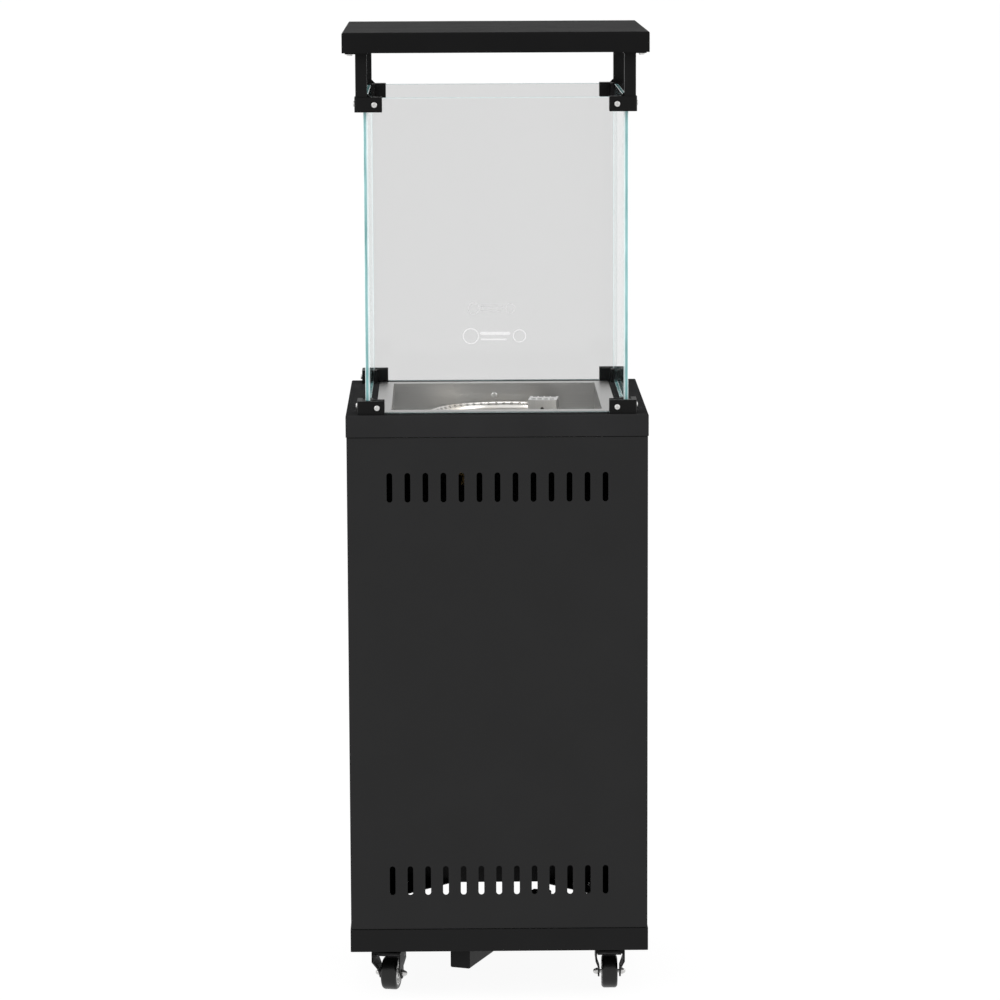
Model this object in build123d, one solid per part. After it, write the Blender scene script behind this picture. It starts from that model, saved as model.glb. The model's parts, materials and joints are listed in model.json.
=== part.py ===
from build123d import *
import os
from math import cos, radians, sin

# An outdoor gas heater: a square sheet-steel cabinet on four castors, a burner tray in its lid,
# four panes of glass round the flame, and a hood on four posts.
# Millimetres, +Z up. The origin is on the floor under the middle of the cabinet.
# -Y is the plain front face and +Y is the back, with the door and the controls.

# Driving dimensions, from the floor up.
cabinet_width = 400.0
cabinet_depth = 380.0
castor_height = 67.0
base_height = 30.5
body_height = 667.5
lid_height = 29.0
clamp_height = 18.5
glass_height = 415.5
hood_size = 400.0
hood_height = 26.5
overall_height = 1296.0

# Sheet thicknesses and gaps.
sheet = 1.2
cover_sheet = 1.5
fit_gap = 0.2
seam_gap = 0.8
body_inset = 1.0
fold_radius = 2.0

# Heights that follow from the stack.
base_bottom = castor_height
base_top = base_bottom + base_height
lid_bottom = base_top + body_height
lid_top = lid_bottom + lid_height
hood_bottom = overall_height - hood_height
glass_bottom = lid_top + 1.0
glass_top = glass_bottom + glass_height
panel_bottom = base_top + seam_gap
panel_top = lid_bottom - seam_gap

# Half sizes of the cabinet and its panels.
half_width = cabinet_width / 2
half_depth = cabinet_depth / 2
panel_half_width = half_width - body_inset
panel_half_depth = half_depth - body_inset
return_depth = 15.0

# Vent slots, in rows.
vent_pitch = 23.8
vent_width = 7.6
vent_length = 39.5
vent_count = 13
vent_inset = 66.5

# Base frame and what stands on it.
corner_plate_leg = 142.0
corner_plate_thickness = 2.0
cylinder_tray_front = -140.0
cylinder_tray_back = 84.0
bar_width = 28.0
bar_height = 30.0
bar_length = 330.0
bar_angle = 21.0
bar_front = (-52.8, -164.2)

# Back face: door, controls and hinges.
door_half_width = 169.0
door_bottom = 127.0
door_top = 625.0
door_gap = 2.0
door_depth = 17.2
door_vent_count = 9
door_vent_inset = 37.0
rail_gap = 0.6
rail_lap = 9.0
rail_step = 9.0
catch_lip = 13.0
catch_half_height = 22.0
pull_half_width = 22.0
pull_half_height = 45.0
pull_rim = 5.0
pull_depth = 14.0
hinge_axis_x = -170.0
hinge_axis_y = panel_half_depth + 3.4
hinge_heights = (215.0, 540.0)
hinge_length = 48.0
hinge_barrel_radius = 3.0
hinge_pin_radius = 1.25
running_clearance = 0.05
pull_x = 120.0
pull_z = 400.0
fascia_half_width = 116.0
fascia_bottom = 654.0
fascia_top = 740.0
fascia_recess = 26.0
control_z = 697.0
knob_x = -45.0
knob_radius = 20.0
igniter_x = 55.0

# Burner tray, burner and pilot.
tray_half_rim = 160.0
tray_half_well = 140.0
tray_depth = 45.0
ring_x = 15.0
ring_radius = 104.0
ring_tube_radius = 9.0
ring_top = lid_top - 20.0
ring_start = 62.0
ring_sweep = 278.0
ring_hole_count = 46
pilot_box_x = 66.0
pilot_box_y = 28.0
pilot_box_width = 39.0
pilot_box_depth = 41.0
pilot_box_turn = -6.0
feed_bore = 6.8
feed_bottom = 732.0
injector_shoulder = 724.0
injector_bottom = 714.0
pipe_end = 722.0
pipe_radius = 3.9
pipe_bend = 8.0

# Glass column.
glass_thickness = 5.0
glass_outer = 173.5
clamp_outer = 184.5
clamp_wall = 7.0
clamp_leg = 36.0
jaw_thickness = 4.5
jaw_outer = glass_outer - glass_thickness - fit_gap
clamp_screw_offset = 26.0
post_outer = 183.0
post_size = 15.0
post_flange = 30.0
upper_clamp_top = glass_top + 1.0
upper_clamp_height = 19.5
upper_clamp_bottom = upper_clamp_top - upper_clamp_height
lower_clamp_top = lid_top + clamp_height
clamp_levels = ((lid_top, lower_clamp_top), (upper_clamp_bottom, upper_clamp_top))
hood_screw_reach = post_outer + 7.0

# Castors.
castor_x = 150.0
castor_y = 150.0
castor_screw_reach = 17.0
castor_plate_half = 21.0
castor_plate_sheet = 2.0
race_radius = 13.0
wheel_radius = 22.5
wheel_width = 21.7
hub_radius = 16.0
axle_radius = 2.5
castor_trail = 18.0
fork_top = 59.0
fork_half_width = 19.8
fork_foot_half_width = 15.5
fork_sheet = 2.0
kingpin_radius = 4.0
pedal_pivot = (12.0, 50.0)

castors = {
    "front_left": (-castor_x, -castor_y, -12.0, True),
    "front_right": (castor_x, -castor_y, 0.0, True),
    "rear_left": (-castor_x, castor_y, 0.0, False),
    "rear_right": (castor_x, castor_y, 0.0, False),
}
corners = {
    "front_left": (-1, -1),
    "front_right": (1, -1),
    "rear_left": (-1, 1),
    "rear_right": (1, 1),
}


def block(x_low, x_high, y_low, y_high, z_low, z_high):
    """A box between two corners."""
    centre = Pos((x_low + x_high) / 2, (y_low + y_high) / 2, (z_low + z_high) / 2)
    return centre * Box(x_high - x_low, y_high - y_low, z_high - z_low)


def upright(radius, x, y, z_low, z_high):
    """A vertical cylinder."""
    return Pos(x, y, (z_low + z_high) / 2) * Cylinder(radius, z_high - z_low)


def rod_along_x(radius, x_low, x_high, y, z):
    """A level cylinder from side to side."""
    return Pos((x_low + x_high) / 2, y, z) * Rot(0, 90, 0) * Cylinder(radius, x_high - x_low)


def rod_along_y(radius, x, y_low, y_high, z):
    """A level cylinder from front to back."""
    return Pos(x, (y_low + y_high) / 2, z) * Rot(90, 0, 0) * Cylinder(radius, y_high - y_low)


def group(pieces):
    """Separate solids that are kept in one file."""
    return Compound(list(pieces))


def at_corner(shape, side):
    """A shape made at the +X +Y corner, mirrored to another corner."""
    if side[0] < 0:
        shape = shape.mirror(Plane.YZ)
    if side[1] < 0:
        shape = shape.mirror(Plane.XZ)
    return shape


def slot_cutters(count, z, y):
    """A centred row of upright slots with round ends, cut along Y."""
    cutters = []
    for index in range(count):
        x = (index - (count - 1) / 2) * vent_pitch
        slot = extrude(SlotOverall(vent_length, vent_width, rotation=90), 5, both=True)
        cutters.append(Pos(x, y, z) * Rot(90, 0, 0) * slot)
    return cutters


def folded_cover(half_x, half_y, z_low, z_high, wall):
    """A sheet cover folded down all round, with rounded folds."""
    outer = block(-half_x, half_x, -half_y, half_y, z_low, z_high)
    folds = outer.edges().filter_by(Axis.Z) + outer.edges().group_by(Axis.Z)[-1]
    outer = fillet(folds, fold_radius)
    inner_x = half_x - wall
    inner_y = half_y - wall
    return outer - block(-inner_x, inner_x, -inner_y, inner_y, z_low - 1, z_high - wall)


def ring_flange(half_x, half_y, width, z_low, z_high):
    """A flat rectangular ring that stands in from a cover's wall."""
    plate = block(-half_x, half_x, -half_y, half_y, z_low, z_high)
    inner_x = half_x - width
    inner_y = half_y - width
    return plate - block(-inner_x, inner_x, -inner_y, inner_y, z_low - 1, z_high + 1)


# Base

def corner_outline(side, margin):
    """The triangle of a corner plate, with its slanted edge moved in by the margin."""
    x = side[0] * (half_width - cover_sheet)
    y = side[1] * (half_depth - cover_sheet)
    leg = corner_plate_leg - 2 * cover_sheet + 2 * margin
    return make_face(Polyline((x, y), (x - side[0] * leg, y), (x, y - side[1] * leg), close=True))


def corner_plate(side):
    """A 45-degree corner plate that carries one castor."""
    return Pos(0, 0, base_bottom) * extrude(corner_outline(side, 0), corner_plate_thickness)


def base_frame():
    """The band round the foot of the cabinet, with a corner plate for each castor."""
    outer = block(-half_width, half_width, -half_depth, half_depth, base_bottom, base_top)
    outer = fillet(outer.edges().filter_by(Axis.Z), fold_radius)
    inner_x = half_width - cover_sheet
    inner_y = half_depth - cover_sheet
    frame = outer - block(-inner_x, inner_x, -inner_y, inner_y, base_bottom - 1, base_top + 1)
    frame += ring_flange(inner_x, inner_y, 20, base_top - cover_sheet, base_top)
    for side in corners.values():
        frame += corner_plate(side)
    for x, y, _, _ in castors.values():
        for dx in (-castor_screw_reach, castor_screw_reach):
            frame -= upright(2.1, x + dx, y, base_bottom - 1, base_bottom + 3)
    return frame


def cylinder_tray():
    """The plate that the gas cylinder stands on."""
    half = half_width - cover_sheet
    top = base_bottom + cover_sheet
    plate = block(-half, half, cylinder_tray_front, cylinder_tray_back, base_bottom, top)
    for side in corners.values():
        plate -= Pos(0, 0, base_bottom - 1) * extrude(corner_outline(side, fit_gap), 4)
    return plate


def support_bar():
    """A square-section bar across the underside of the cylinder tray."""
    outer = block(-bar_width / 2, bar_width / 2, 0, bar_length, base_bottom - bar_height, base_bottom)
    outer = fillet(outer.edges().filter_by(Axis.Y), 2)
    wall = 1.5
    half = bar_width / 2 - wall
    inner_low = base_bottom - bar_height + wall
    inner = block(-half, half, 20, bar_length - wall, inner_low, base_bottom - wall)
    bar = outer - inner
    return Pos(bar_front[0], bar_front[1], 0) * Rot(0, 0, -bar_angle) * bar


def castor_plates():
    """Each castor's fixed top: a plate, a ball race and a riveted kingpin."""
    tops = []
    for x, y, _, _ in castors.values():
        half = castor_plate_half
        under = base_bottom - castor_plate_sheet
        plate = block(x - half, x + half, y - half, y + half, under, base_bottom)
        for dx in (-castor_screw_reach, castor_screw_reach):
            plate -= upright(2.1, x + dx, y, base_bottom - 3, base_bottom + 1)
        race = upright(race_radius, x, y, fork_top + fit_gap, under)
        pin = upright(kingpin_radius, x, y, fork_top - 5, under)
        head = upright(7, x, y, fork_top - 5, fork_top - fork_sheet - fit_gap)
        tops.append(plate + race + pin + head)
    return group(tops)


def castor_screws():
    """Two bolts and nuts for each castor."""
    screws = []
    for x, y, _, _ in castors.values():
        for dx in (-castor_screw_reach, castor_screw_reach):
            under = base_bottom - castor_plate_sheet
            shank = upright(2, x + dx, y, under, base_bottom + 8)
            head = upright(3.6, x + dx, y, under - 2, under)
            nut = Pos(x + dx, y, base_bottom + corner_plate_thickness) * extrude(RegularPolygon(3.9, 6), 3.2)
            screws.append(shank + head + nut)
    return group(screws)


# Castor parts are made with the kingpin on the Z axis and the wheel trailing towards +Y.

def placed(shape, castor):
    """A castor part moved to its corner, with its fork turned."""
    x, y, turn, _ = castor
    return Pos(x, y, 0) * Rot(0, 0, turn) * shape


def castor_fork(has_pedal):
    """A pressed fork: its front outline cut by its side outline."""
    top = fork_half_width
    foot = fork_foot_half_width
    t = fork_sheet
    outside = [(-top, fork_top), (-top, 44), (-foot, 31), (-foot, 14), (foot, 14), (foot, 31), (top, 44)]
    outside.append((top, fork_top))
    inside = [(t - top, fork_top - t), (t - top, 44), (t - foot, 31), (t - foot, 13), (foot - t, 13)]
    inside += [(foot - t, 31), (top - t, 44), (top - t, fork_top - t)]
    front = make_face(Polyline(*outside, close=True)) - make_face(Polyline(*inside, close=True))
    channel = Rot(90, 0, 0) * extrude(front, 40, both=True)
    side = Polyline((-16, 60), (20, 60), (25.4, 24), (10.6, 21), (-16, 45), close=True)
    blade = extrude(Plane.YZ * make_face(side), 30, both=True)
    boss = rod_along_x(7.5, -30, 30, castor_trail, wheel_radius)
    fork = channel & (blade + boss)
    fork -= upright(kingpin_radius + running_clearance, 0, 0, 50, 62)
    fork -= rod_along_x(axle_radius + running_clearance, -25, 25, castor_trail, wheel_radius)
    if has_pedal:
        fork -= rod_along_x(2 + running_clearance, -25, 25, *pedal_pivot)
    return fork


def castor_wheel():
    """A wheel: a rounded tyre moulded on to a dished hub."""
    tyre = Cylinder(wheel_radius, wheel_width)
    tyre = fillet(tyre.edges(), 4) - Cylinder(hub_radius, wheel_width + 2)
    hub = Cylinder(hub_radius, wheel_width - 1)
    for face in (-1, 1):
        dish = Cylinder(hub_radius - 2, 5) - Cylinder(6, 6)
        hub -= Pos(0, 0, face * (wheel_width / 2 - 1)) * dish
    hub += Cylinder(6, 2 * (fork_foot_half_width - fork_sheet) - 0.8)
    hub -= Cylinder(axle_radius + running_clearance, 40)
    return Pos(0, castor_trail, wheel_radius) * Rot(0, 90, 0) * group([tyre, hub])


def castor_axle():
    """A bolt with a domed nut at each end."""
    reach = fork_foot_half_width
    axle = rod_along_x(axle_radius, -reach - 4, reach + 4, castor_trail, wheel_radius)
    for end in (-1, 1):
        nut = extrude(RegularPolygon(4.5, 6), 3)
        nut += Pos(0, 0, 3) * Sphere(3.6) & Pos(0, 0, 5) * Box(12, 12, 6)
        turned = Rot(0, 90 * end, 0) * nut
        axle += Pos(end * reach, castor_trail, wheel_radius) * turned
    return axle


def brake_pedal():
    """A foot pedal over the wheel, on its own cross pin."""
    y, z = pedal_pivot
    plate = block(-12, 12, y, 50, z - 1.5, z + 1.5)
    toe = Pos(0, 50, z) * Rot(25, 0, 0) * block(-12, 12, -1, 6, -1.5, 1.5)
    barrel = rod_along_x(3.5, -16, 16, y, z)
    pin = rod_along_x(2, -fork_half_width, fork_half_width, y, z)
    return plate + toe + barrel + pin


# Cabinet

def wrap_returns(y_face, y_inner):
    """The folded edges that stand in from both ends of a face panel."""
    outer = panel_half_width - sheet - fit_gap
    low = min(y_face, y_inner)
    high = max(y_face, y_inner)
    right = block(outer - sheet, outer, low, high, panel_bottom, panel_top)
    left = block(-outer, sheet - outer, low, high, panel_bottom, panel_top)
    return left + right


def face_sheet(side):
    """A flat face panel at the front (-1) or back (+1), with its two returns."""
    y_outer = side * panel_half_depth
    y_inner = y_outer - side * sheet
    low = min(y_outer, y_inner)
    high = max(y_outer, y_inner)
    face = block(-panel_half_width, panel_half_width, low, high, panel_bottom, panel_top)
    return face + wrap_returns(y_outer, y_outer - side * return_depth)


def front_panel():
    """The plain front, with two rows of vent slots."""
    panel = face_sheet(-1)
    for z in (panel_bottom + vent_inset, panel_top - vent_inset):
        panel -= slot_cutters(vent_count, z, -panel_half_depth)
    return panel


def side_panel(side):
    """A plain side panel with a return at its head and foot."""
    end = panel_half_depth - sheet - fit_gap
    inner = panel_half_width - sheet
    panel = block(inner, panel_half_width, -end, end, panel_bottom, panel_top)
    reach = panel_half_depth - return_depth - 5
    lower = block(inner - return_depth, inner, -reach, reach, panel_bottom, panel_bottom + sheet)
    upper = block(inner - return_depth, inner, -reach, reach, panel_top - sheet, panel_top)
    panel = panel + lower + upper
    return at_corner(panel, (side, 1))


def door_rail(edge, side):
    """A stepped rail behind the door's head (1) or foot (-1), which closes the gap round it."""
    back = panel_half_depth - door_depth - fit_gap - rail_gap
    wide = door_half_width + door_gap
    tip = edge - side * rail_lap
    shelf = edge + side * rail_step
    upstand = block(-wide, wide, back - sheet, back, min(tip, shelf), max(tip, shelf))
    low = min(shelf, shelf - side * sheet)
    return upstand + block(-wide, wide, back - sheet, panel_half_depth - sheet / 2, low, low + sheet)


def rear_frame():
    """The back face, with openings for the door and the controls."""
    frame = face_sheet(1)
    low = panel_half_depth - 5
    high = panel_half_depth + 5
    door_edge = door_half_width + door_gap
    frame -= block(-door_edge, door_edge, low, high, door_bottom - door_gap, door_top + door_gap)
    reach = fascia_half_width + 1
    frame -= block(-reach, reach, low, high, fascia_bottom - 1, fascia_top + 1)
    return frame + door_rail(door_top, 1) + door_rail(door_bottom, -1)


def control_fascia():
    """A recessed pan behind the back face that carries the controls."""
    front = panel_half_depth - sheet
    back = panel_half_depth - fascia_recess
    wide = fascia_half_width
    flange = block(-wide - 12, wide + 12, front - sheet, front, fascia_bottom - 12, fascia_top + 12)
    shell_half = wide + sheet
    shell_low = fascia_bottom - sheet
    pan = flange + block(-shell_half, shell_half, back - sheet, front, shell_low, fascia_top + sheet)
    pan -= block(-wide, wide, back, front + 1, fascia_bottom, fascia_top)
    pan -= rod_along_y(6, knob_x, back - 5, back + 5, control_z)
    pan -= rod_along_y(8.2, igniter_x, back - 5, back + 5, control_z)
    return pan


def door():
    """A folded pan with vent slots, a cut-out for the pull and a lip for the catch."""
    outer_y = panel_half_depth
    inner_y = outer_y - door_depth
    half = door_half_width
    pan = block(-half, half, inner_y, outer_y, door_bottom, door_top)
    inside = half - sheet
    low = door_bottom + sheet
    pan -= block(-inside, inside, inner_y - 1, outer_y - sheet, low, door_top - sheet)
    pan += block(half - catch_lip, half, inner_y, inner_y + sheet, pull_z - 30, pull_z + 30)
    for z in (door_bottom + door_vent_inset, door_top - door_vent_inset):
        pan -= slot_cutters(door_vent_count, z, outer_y)
    wide = pull_half_width
    tall = pull_half_height
    return pan - block(pull_x - wide, pull_x + wide, outer_y - 5, outer_y + 5, pull_z - tall, pull_z + tall)


def door_pull():
    """A sunk cup that fingers hook into."""
    y = panel_half_depth
    wall = 1.5
    wide = pull_half_width
    tall = pull_half_height
    cup = block(pull_x - wide, pull_x + wide, y - pull_depth, y, pull_z - tall, pull_z + tall)
    cup = fillet(cup.edges().filter_by(Axis.Y), 4)
    wide += pull_rim
    tall += pull_rim
    rim = block(pull_x - wide, pull_x + wide, y, y + sheet, pull_z - tall, pull_z + tall)
    rim = fillet(rim.edges().filter_by(Axis.Y), 5)
    wide -= pull_rim + wall
    tall -= pull_rim + wall
    hollow = block(pull_x - wide, pull_x + wide, y - pull_depth + wall, y + 5, pull_z - tall, pull_z + tall)
    hollow = fillet(hollow.edges().filter_by(Axis.Y), 3)
    lip = block(pull_x - wide, pull_x - 12, y - wall, y + sheet, pull_z - tall, pull_z + tall)
    return cup + rim - hollow + lip


def hinge_leaf(x_low, x_high, z_centre, knuckles):
    """A leaf with its knuckles, bored for the pin."""
    z_low = z_centre - hinge_length / 2
    z_high = z_centre + hinge_length / 2
    y_low = panel_half_depth
    leaf = block(x_low, x_high, y_low, y_low + sheet, z_low, z_high)
    web_low = min(x_low, hinge_axis_x)
    web_high = max(x_high, hinge_axis_x)
    for low, high in knuckles:
        leaf += block(web_low, web_high, y_low, y_low + sheet, z_centre + low, z_centre + high)
        leaf += upright(hinge_barrel_radius, hinge_axis_x, hinge_axis_y, z_centre + low, z_centre + high)
    bore = upright(hinge_pin_radius + running_clearance, hinge_axis_x, hinge_axis_y, z_low - 5, z_high + 5)
    return leaf - bore


def frame_hinges():
    """The frame's leaf of each hinge, and the headed pin that stands in it."""
    pieces = []
    for z in hinge_heights:
        pieces.append(hinge_leaf(-196, -173.5, z, ((-24, -12.2), (12.2, 24))))
        pin = upright(hinge_pin_radius, hinge_axis_x, hinge_axis_y, z - 24, z + 24)
        head = upright(2.2, hinge_axis_x, hinge_axis_y, z + 24, z + 25.5)
        pieces.append(pin + head)
    return group(pieces)


def door_hinges():
    """The door's leaf of each hinge."""
    return group(hinge_leaf(-166.5, -144, z, ((-12, 12),)) for z in hinge_heights)


def magnet_catch():
    """A magnet block on the back frame's return that the door's lip meets."""
    back = panel_half_depth - door_depth - fit_gap
    edge = panel_half_width - 2 * sheet - fit_gap
    tall = catch_half_height
    body = block(door_half_width - catch_lip, edge, back - 12, back, pull_z - tall, pull_z + tall)
    return fillet(body.edges().filter_by(Axis.Z), 1.5)


def tilt_switch():
    """A cut-off switch that shuts the gas when the heater is tipped over."""
    wall = panel_half_width - sheet
    case = block(wall - 24, wall, -20, 20, 180, 230)
    return fillet(case.edges().filter_by(Axis.X), 4)


# Gas controls

def gas_valve():
    """The gas tap's body, with an outlet at its side."""
    front = panel_half_depth - fascia_recess - sheet
    body = block(knob_x - 23, knob_x + 23, front - 38, front, control_z - 26, control_z + 26)
    body = fillet(body.edges().filter_by(Axis.Y), 5)
    body += rod_along_x(8, knob_x - 31, knob_x - 23, front - 20, control_z + 6)
    body -= rod_along_y(4 + running_clearance, knob_x, front - 22, front + 1, control_z)
    body -= rod_along_x(4, knob_x - 32, knob_x - 25, front - 20, control_z + 6)
    return body


def gas_inlet():
    """The threaded stub that the hose screws on to."""
    y = panel_half_depth - fascia_recess - sheet - 20
    bottom = control_z - 26
    collar = Pos(knob_x, y, bottom - 5) * extrude(RegularPolygon(9.5, 6), 5)
    stub = upright(6.6, knob_x, y, bottom - 19, bottom - 5)
    bore = upright(3.5, knob_x, y, bottom - 20, bottom - 2)
    return collar + stub - bore


def gas_pipe():
    """The rigid pipe from the valve to the burner's injector."""
    y = panel_half_depth - fascia_recess - sheet - 20
    start = (knob_x - 25, y, control_z + 6)
    x_feed = ring_x - ring_radius
    level = control_z + 6
    corners_of_path = (start, (x_feed, y, level), (x_feed, 0, level), (x_feed, 0, pipe_end))
    section = Plane(origin=start, z_dir=(-1, 0, 0)) * (Circle(pipe_radius) - Circle(pipe_radius - 1))
    return sweep(section, FilletPolyline(*corners_of_path, radius=pipe_bend))


def burner_injector():
    """A brass injector body with air holes, below the burner's feed."""
    x = ring_x - ring_radius
    hexagon = extrude(RegularPolygon(10, 6), injector_shoulder - injector_bottom)
    body = Pos(x, 0, injector_bottom) * hexagon + upright(8, x, 0, injector_shoulder, feed_bottom)
    body -= upright(pipe_radius + 0.1, x, 0, injector_bottom - 1, pipe_end)
    body -= upright(feed_bore, x, 0, injector_shoulder, feed_bottom + 1)
    air_hole_z = (injector_shoulder + feed_bottom) / 2
    for turn in (0, 90):
        body -= Pos(x, 0, air_hole_z) * Rot(0, 0, turn) * Rot(0, 90, 0) * Cylinder(2, 30)
    return body


def control_knob():
    """A round knob with a finger bar across its face."""
    back = panel_half_depth - fascia_recess + 1.5
    skirt = rod_along_y(knob_radius, knob_x, back, back + 6, control_z)
    grip = block(knob_x - 4.5, knob_x + 4.5, back + 5, back + 21, control_z - 19, control_z + 19)
    grip = grip & rod_along_y(knob_radius - 1, knob_x, back, back + 22, control_z)
    hub = rod_along_y(13, knob_x, back + 5, back + 11, control_z)
    knob = skirt + grip + hub
    return knob - rod_along_y(4, knob_x, back - 1, back + 8, control_z)


def knob_spindle():
    """The tap's shaft, which turns with the knob."""
    back = panel_half_depth - fascia_recess + 1.5
    return rod_along_y(4, knob_x, back - 20, back + 8, control_z)


def igniter_body():
    """The igniter's barrel, its collar on the fascia and its nut behind."""
    back = panel_half_depth - fascia_recess
    barrel = rod_along_y(8, igniter_x, back - 34, back, control_z)
    collar = rod_along_y(11, igniter_x, back, back + 2.5, control_z)
    nut = Pos(igniter_x, back - sheet, control_z) * Rot(90, 0, 0) * extrude(RegularPolygon(12, 6), 4)
    body = barrel + collar + nut
    body -= rod_along_y(7.2, igniter_x, back - 6, back + 3, control_z)
    return body - rod_along_y(3 + running_clearance, igniter_x, back - 20, back, control_z)


def igniter_button():
    """The push button and its stem."""
    back = panel_half_depth - fascia_recess
    cap = rod_along_y(7, igniter_x, back + 1, back + 9, control_z)
    cap = fillet(cap.edges().group_by(Axis.Y)[-1], 1.5)
    return cap + rod_along_y(3, igniter_x, back - 14, back + 1, control_z)


# Lid, tray and burner

def lid():
    """The folded cover of the cabinet, open in the middle for the burner tray."""
    cover = folded_cover(half_width, half_depth, lid_bottom, lid_top, cover_sheet)
    inner_x = half_width - cover_sheet
    inner_y = half_depth - cover_sheet
    cover += ring_flange(inner_x, inner_y, 18, lid_bottom, lid_bottom + cover_sheet)
    opening = tray_half_well + 3
    return cover - block(-opening, opening, -opening, opening, lid_top - 5, lid_top + 5)


def burner_tray():
    """A stainless well with a flat rim that lies on the lid."""
    rim = block(-tray_half_rim, tray_half_rim, -tray_half_rim, tray_half_rim, lid_top, lid_top + 1)
    rim = fillet(rim.edges().filter_by(Axis.Z), 3)
    wall = tray_half_well + 1
    floor = lid_top - tray_depth
    well = block(-wall, wall, -wall, wall, floor, lid_top + 1)
    tray = rim + well
    inside = tray_half_well
    tray -= block(-inside, inside, -inside, inside, floor + 1, lid_top + 2)
    tray -= upright(8.4, ring_x - ring_radius, 0, floor - 1, floor + 2)
    tray -= rod_along_y(2.6, 0, wall - 3, wall + 3, lid_top - 16)
    for side in (-1, 1):
        tray -= rod_along_x(2.1, side * wall - 3, side * wall + 3, -120, lid_top - 10)
    return tray


def tray_screws():
    """The screws in the tray's back and side walls."""
    y = tray_half_well
    z = lid_top - 16
    back = rod_along_y(2.5, 0, y - 3, y + 6, z)
    back += rod_along_y(4.6, 0, y - 3, y, z)
    back += Pos(0, y + 5, z) * Rot(90, 0, 0) * extrude(RegularPolygon(4.6, 6), 4)
    screws = [back]
    for side in (-1, 1):
        x = tray_half_well
        shank = rod_along_x(2, x - 2, x + 7, -120, lid_top - 10)
        head = rod_along_x(3.6, x - 2, x, -120, lid_top - 10)
        nut = Pos(x + 1, -120, lid_top - 10) * Rot(0, 90, 0) * extrude(RegularPolygon(3.8, 6), 3)
        screws.append(at_corner(shank + head + nut, (side, 1)))
    return group(screws)


def ring_tube(radius, start, size):
    """Part of a round tube bent to the burner's radius."""
    section = Plane.XZ * Pos(ring_radius, ring_top - ring_tube_radius) * Circle(radius)
    arc = revolve(section, Axis.Z, revolution_arc=size)
    return Pos(ring_x, 0, 0) * Rot(0, 0, start) * arc


def burner_ring():
    """A bent burner tube with flame ports along its top and a feed pipe below."""
    centre_z = ring_top - ring_tube_radius
    feed_x = ring_x - ring_radius
    tube = ring_tube(ring_tube_radius, ring_start, ring_sweep) + upright(8, feed_x, 0, feed_bottom, centre_z)
    bore = ring_tube(ring_tube_radius - 1.2, ring_start + 1.2, ring_sweep - 2.4)
    tube = tube - bore - upright(feed_bore, feed_x, 0, feed_bottom - 1, centre_z)
    ports = []
    for index in range(ring_hole_count):
        angle = radians(ring_start + 5 + index * (ring_sweep - 10) / (ring_hole_count - 1))
        x = ring_x + ring_radius * cos(angle)
        ports.append(upright(1.6, x, ring_radius * sin(angle), centre_z + 2, ring_top + 1))
    return tube - ports


def burner_saddles():
    """Three feet that hold the burner above the tray's floor."""
    floor = lid_top - tray_depth + 1
    ring = ring_tube(ring_tube_radius, 0, 359.9)
    saddles = []
    for angle in (105, 215, 315):
        foot = block(ring_radius - 8, ring_radius + 16, -6, 6, floor, floor + 1.2)
        post = block(ring_radius - 8, ring_radius + 8, -6, 6, floor + 1, floor + 9)
        saddles.append(Pos(ring_x, 0, 0) * Rot(0, 0, angle) * (foot + post) - ring)
    return group(saddles)


def pilot_place(shape):
    """A part of the pilot moved to its place and turn in the tray."""
    return Pos(pilot_box_x, pilot_box_y, 0) * Rot(0, 0, pilot_box_turn) * shape


def pilot_shield():
    """A perforated box over the pilot flame, open at its back."""
    floor = lid_top - tray_depth + 1
    top = lid_top - 6
    x = pilot_box_width / 2
    y = pilot_box_depth / 2
    box = block(-x, x, -y, y, floor, top)
    box -= block(1 - x, x - 1, 1 - y, y + 1, floor - 1, top - 1)
    for index in range(4):
        box -= upright(2.6, (index - 1.5) * 8.4, -y / 4, top - 3, top + 1)
        box -= upright(2.6, (index - 1.5) * 8.4, y / 2, top - 3, top + 1)
    box -= rod_along_y(2, 0, -y - 2, 2 - y, top - 12)
    foot = block(x, x + 12, -y, y, floor, floor + 1)
    return pilot_place(box + foot)


def pilot_burner():
    """A small burner with a hooded tip."""
    floor = lid_top - tray_depth + 1
    body = upright(4.5, -8, 0, floor, floor + 22) + upright(6, -8, 0, floor, floor + 5)
    hood = block(-13, -3, -5, 5, floor + 22, floor + 25)
    return pilot_place(body + hood)


def ignition_electrode():
    """A ceramic stem with a bent wire that sparks at the pilot."""
    floor = lid_top - tray_depth + 1
    ceramic = upright(3, 3, 0, floor, floor + 18)
    wire = upright(0.9, 3, 0, floor + 18, floor + 28)
    tip = rod_along_x(0.9, -2, 3.9, 0, floor + 28)
    return pilot_place(ceramic + wire + tip)


def thermocouple():
    """The probe that keeps the gas open while the pilot burns."""
    floor = lid_top - tray_depth + 1
    rod = upright(2.5, 12, 0, floor, floor + 26)
    return pilot_place(rod + upright(4, 12, 0, floor, floor + 7))


# Glass column and hood

def glass_pane(face):
    """The side panes run the full depth; the front and back panes stand between them."""
    inner = glass_outer - glass_thickness
    if face in ("front", "rear"):
        pane = block(fit_gap - inner, inner - fit_gap, inner, glass_outer, glass_bottom, glass_top)
        pane = fillet(pane.edges().filter_by(Axis.Y), 1.5)
        return pane if face == "rear" else pane.mirror(Plane.XZ)
    pane = block(inner, glass_outer, -glass_outer, glass_outer, glass_bottom, glass_top)
    pane = fillet(pane.edges().filter_by(Axis.X), 1.5)
    return pane if face == "right" else pane.mirror(Plane.YZ)


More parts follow.
